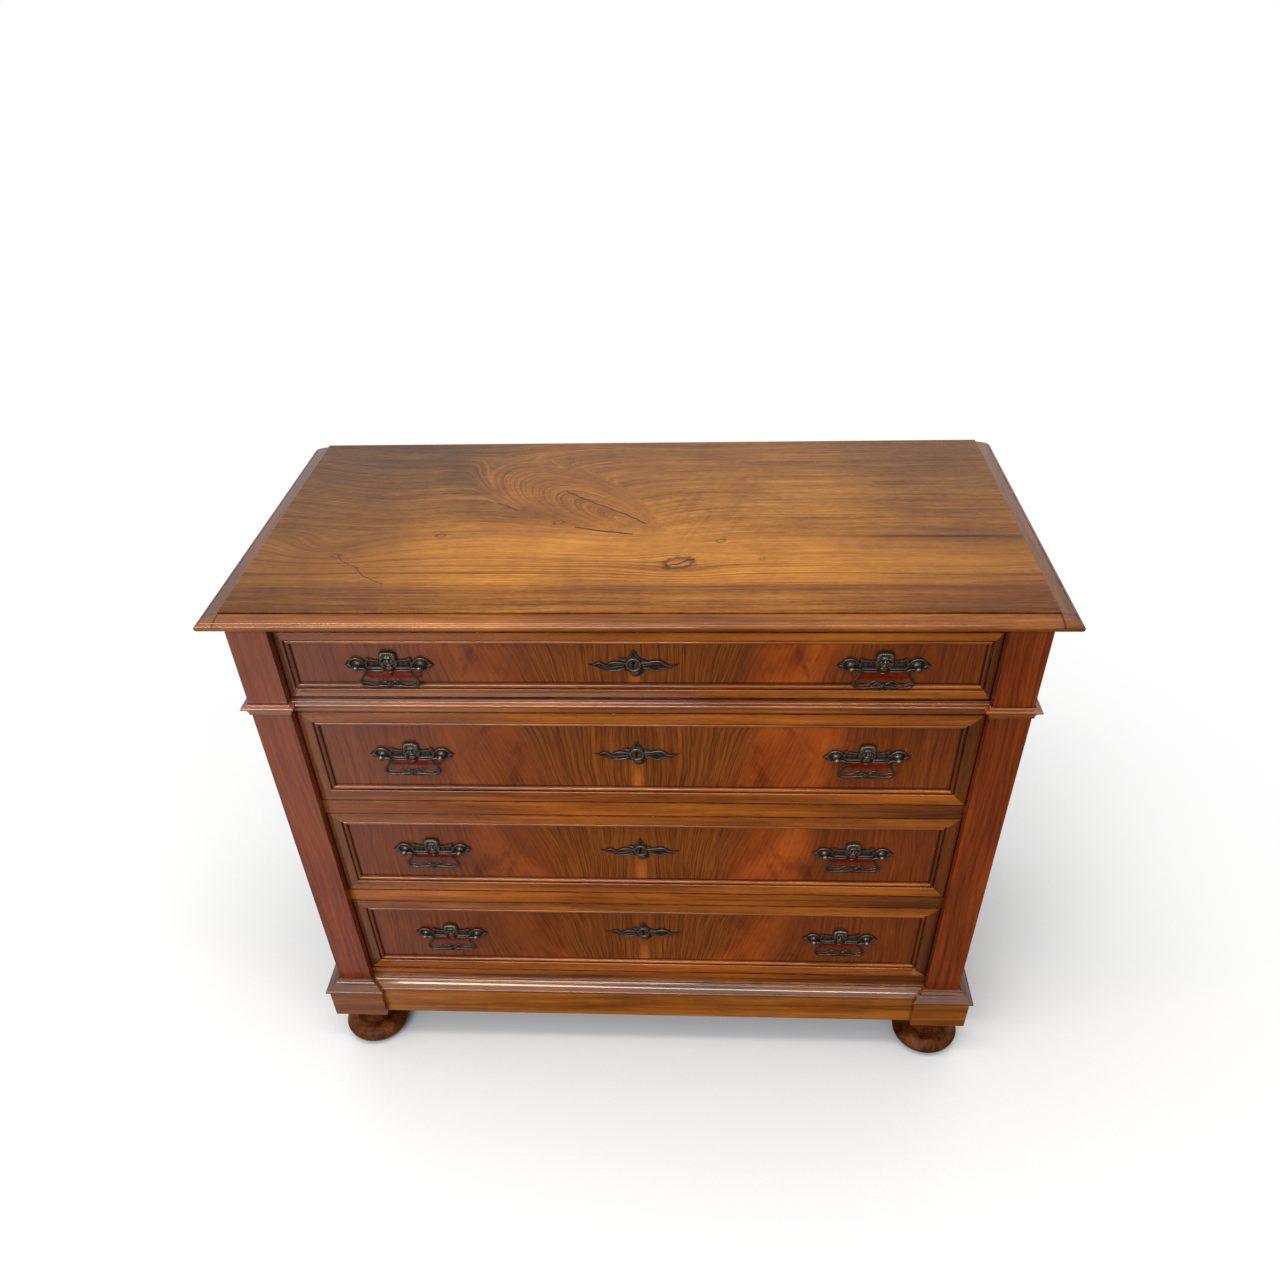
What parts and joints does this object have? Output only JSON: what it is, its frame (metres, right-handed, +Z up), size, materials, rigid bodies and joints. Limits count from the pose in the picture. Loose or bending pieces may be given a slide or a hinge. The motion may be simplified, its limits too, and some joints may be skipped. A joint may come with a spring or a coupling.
{
  "type": "chest of drawers",
  "caption": "Polished walnut chest of drawers with a moulded top, plain corner pilasters, framed bookmatched drawer fronts, cast swing-bail pulls, a plinth and turned bun feet.",
  "frame": {"origin": "On the floor, under the middle of the chest's overall box", "axes": "+Z up, front faces -Y, +X to the right of someone who faces the front"},
  "size_m": [1.15, 0.576, 0.928],
  "materials": {
    "top_veneer": "polished walnut veneer, worn and knotted",
    "top_edge": "polished walnut moulding",
    "pilaster_wood": "polished red-brown walnut",
    "side_wood": "polished walnut",
    "side_veneer": "polished walnut veneer",
    "waist_wood": "polished walnut moulding",
    "rail_wood": "polished walnut facing",
    "base_wood": "polished walnut moulding",
    "plinth_wood": "polished walnut veneer",
    "foot_wood": "turned and dark stained walnut",
    "drawer_veneer": "bookmatched polished walnut veneer",
    "drawer_frame_wood": "polished walnut facing and bead",
    "lining_wood": "plain unpolished softwood",
    "cast_metal": "dark patinated cast brass",
    "lock_iron": "dull iron"
  },
  "bodies": {
    "carcass": {"top_board": "top_veneer", "top_moulding": "top_edge", "pilaster_left": "pilaster_wood", "pilaster_right": "pilaster_wood", "rear_posts": "side_wood", "side_rails": "side_wood", "side_panels": "side_veneer", "side_beads": "side_wood", "waist_moulding": "waist_wood", "top_rail": "rail_wood", "drawer_rails": "rail_wood", "bottom_rail": "rail_wood", "base_moulding": "base_wood", "plinth": "plinth_wood", "bottom_board": "lining_wood", "back_panel": "lining_wood", "drawer_runners": "lining_wood", "drawer_stops": "lining_wood", "bun_foot_left": "foot_wood", "bun_foot_right": "foot_wood"},
    "drawer_1": {"drawer_1_front": "drawer_veneer", "drawer_1_frame": "drawer_frame_wood", "drawer_1_box": "lining_wood", "drawer_1_bottom": "lining_wood", "drawer_1_escutcheon": "cast_metal", "drawer_1_lock": "lock_iron", "drawer_1_pull_plates": "cast_metal"},
    "drawer_1_bolt": {"drawer_1_lock_bolt": "lock_iron"},
    "drawer_1_bail_left_body": {"drawer_1_bail_left": "cast_metal"},
    "drawer_1_bail_right_body": {"drawer_1_bail_right": "cast_metal"},
    "drawer_2": {"drawer_2_front": "drawer_veneer", "drawer_2_frame": "drawer_frame_wood", "drawer_2_box": "lining_wood", "drawer_2_bottom": "lining_wood", "drawer_2_escutcheon": "cast_metal", "drawer_2_lock": "lock_iron", "drawer_2_pull_plates": "cast_metal"},
    "drawer_2_bolt": {"drawer_2_lock_bolt": "lock_iron"},
    "drawer_2_bail_left_body": {"drawer_2_bail_left": "cast_metal"},
    "drawer_2_bail_right_body": {"drawer_2_bail_right": "cast_metal"},
    "drawer_3": {"drawer_3_front": "drawer_veneer", "drawer_3_frame": "drawer_frame_wood", "drawer_3_box": "lining_wood", "drawer_3_bottom": "lining_wood", "drawer_3_escutcheon": "cast_metal", "drawer_3_lock": "lock_iron", "drawer_3_pull_plates": "cast_metal"},
    "drawer_3_bolt": {"drawer_3_lock_bolt": "lock_iron"},
    "drawer_3_bail_left_body": {"drawer_3_bail_left": "cast_metal"},
    "drawer_3_bail_right_body": {"drawer_3_bail_right": "cast_metal"},
    "drawer_4": {"drawer_4_front": "drawer_veneer", "drawer_4_frame": "drawer_frame_wood", "drawer_4_box": "lining_wood", "drawer_4_bottom": "lining_wood", "drawer_4_escutcheon": "cast_metal", "drawer_4_lock": "lock_iron", "drawer_4_pull_plates": "cast_metal"},
    "drawer_4_bolt": {"drawer_4_lock_bolt": "lock_iron"},
    "drawer_4_bail_left_body": {"drawer_4_bail_left": "cast_metal"},
    "drawer_4_bail_right_body": {"drawer_4_bail_right": "cast_metal"}
  },
  "joints": [
    {"name": "drawer_1_slide", "type": "slide", "parent": "carcass", "child": "drawer_1", "axis": [0, -1, 0], "range_m": [0, 0.38]},
    {"name": "drawer_1_lock", "type": "slide", "parent": "drawer_1", "child": "drawer_1_bolt", "axis": [0, 0, 1], "range_m": [0, 0.008]},
    {"name": "drawer_1_bail_left_swing", "type": "hinge", "parent": "drawer_1", "child": "drawer_1_bail_left_body", "pos_m": [-0.341, -0.2502, 0.8305], "axis": [-1, 0, 0], "range_deg": [0, 165]},
    {"name": "drawer_1_bail_right_swing", "type": "hinge", "parent": "drawer_1", "child": "drawer_1_bail_right_body", "pos_m": [0.341, -0.2502, 0.8305], "axis": [-1, 0, 0], "range_deg": [0, 165]},
    {"name": "drawer_2_slide", "type": "slide", "parent": "carcass", "child": "drawer_2", "axis": [0, -1, 0], "range_m": [0, 0.38]},
    {"name": "drawer_2_lock", "type": "slide", "parent": "drawer_2", "child": "drawer_2_bolt", "axis": [0, 0, 1], "range_m": [0, 0.008]},
    {"name": "drawer_2_bail_left_swing", "type": "hinge", "parent": "drawer_2", "child": "drawer_2_bail_left_body", "pos_m": [-0.336, -0.2502, 0.6705], "axis": [-1, 0, 0], "range_deg": [0, 165]},
    {"name": "drawer_2_bail_right_swing", "type": "hinge", "parent": "drawer_2", "child": "drawer_2_bail_right_body", "pos_m": [0.336, -0.2502, 0.6705], "axis": [-1, 0, 0], "range_deg": [0, 165]},
    {"name": "drawer_3_slide", "type": "slide", "parent": "carcass", "child": "drawer_3", "axis": [0, -1, 0], "range_m": [0, 0.38]},
    {"name": "drawer_3_lock", "type": "slide", "parent": "drawer_3", "child": "drawer_3_bolt", "axis": [0, 0, 1], "range_m": [0, 0.008]},
    {"name": "drawer_3_bail_left_swing", "type": "hinge", "parent": "drawer_3", "child": "drawer_3_bail_left_body", "pos_m": [-0.336, -0.2502, 0.474], "axis": [-1, 0, 0], "range_deg": [0, 165]},
    {"name": "drawer_3_bail_right_swing", "type": "hinge", "parent": "drawer_3", "child": "drawer_3_bail_right_body", "pos_m": [0.336, -0.2502, 0.474], "axis": [-1, 0, 0], "range_deg": [0, 165]},
    {"name": "drawer_4_slide", "type": "slide", "parent": "carcass", "child": "drawer_4", "axis": [0, -1, 0], "range_m": [0, 0.38]},
    {"name": "drawer_4_lock", "type": "slide", "parent": "drawer_4", "child": "drawer_4_bolt", "axis": [0, 0, 1], "range_m": [0, 0.008]},
    {"name": "drawer_4_bail_left_swing", "type": "hinge", "parent": "drawer_4", "child": "drawer_4_bail_left_body", "pos_m": [-0.335, -0.2502, 0.271], "axis": [-1, 0, 0], "range_deg": [0, 165]},
    {"name": "drawer_4_bail_right_swing", "type": "hinge", "parent": "drawer_4", "child": "drawer_4_bail_right_body", "pos_m": [0.335, -0.2502, 0.271], "axis": [-1, 0, 0], "range_deg": [0, 165]}
  ]
}
